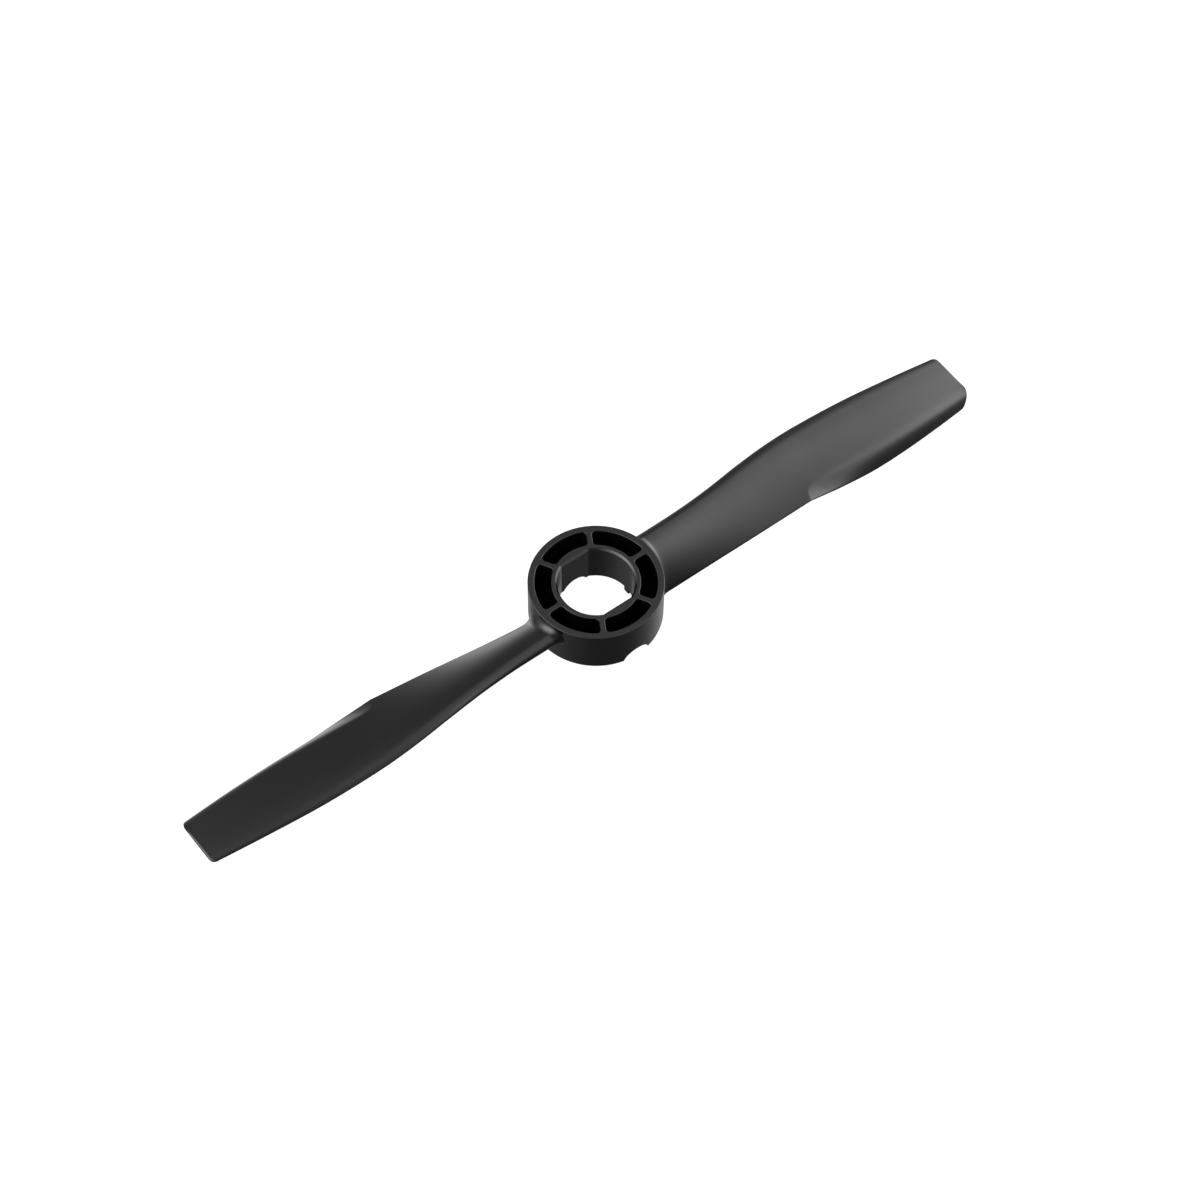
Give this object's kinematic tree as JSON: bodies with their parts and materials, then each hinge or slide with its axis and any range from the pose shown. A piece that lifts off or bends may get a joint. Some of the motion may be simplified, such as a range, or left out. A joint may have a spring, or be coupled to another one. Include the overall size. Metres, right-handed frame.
{
  "type": "propeller",
  "caption": "Propeller with twisted blades and a cored ring hub, a double-D bore, drive keys and a cross-pin seat below.",
  "frame": {"origin": "on the spin axis, level with the undersides of the drive keys, the lowest point of the part", "axes": "+Z along the spin axis towards the hub's top face, +X along blade 1, so the bore's flats face +Y and -Y"},
  "size_m": [0.228, 0.033, 0.0127],
  "materials": {
    "hub_plastic": "moulded black plastic, fine satin texture",
    "blade_plastic": "moulded black plastic, smooth satin"
  },
  "bodies": {
    "root": {"hub_rim": "hub_plastic", "bore_sleeve": "hub_plastic", "hub_floor": "hub_plastic", "hub_rib_1": "hub_plastic", "hub_rib_2": "hub_plastic", "hub_rib_3": "hub_plastic", "hub_rib_4": "hub_plastic", "hub_rib_5": "hub_plastic", "hub_rib_6": "hub_plastic", "drive_key_1": "hub_plastic", "drive_key_2": "hub_plastic", "blade_root_1": "blade_plastic", "blade_root_2": "blade_plastic", "blade_1": "blade_plastic", "blade_2": "blade_plastic"}
  },
  "joints": []
}
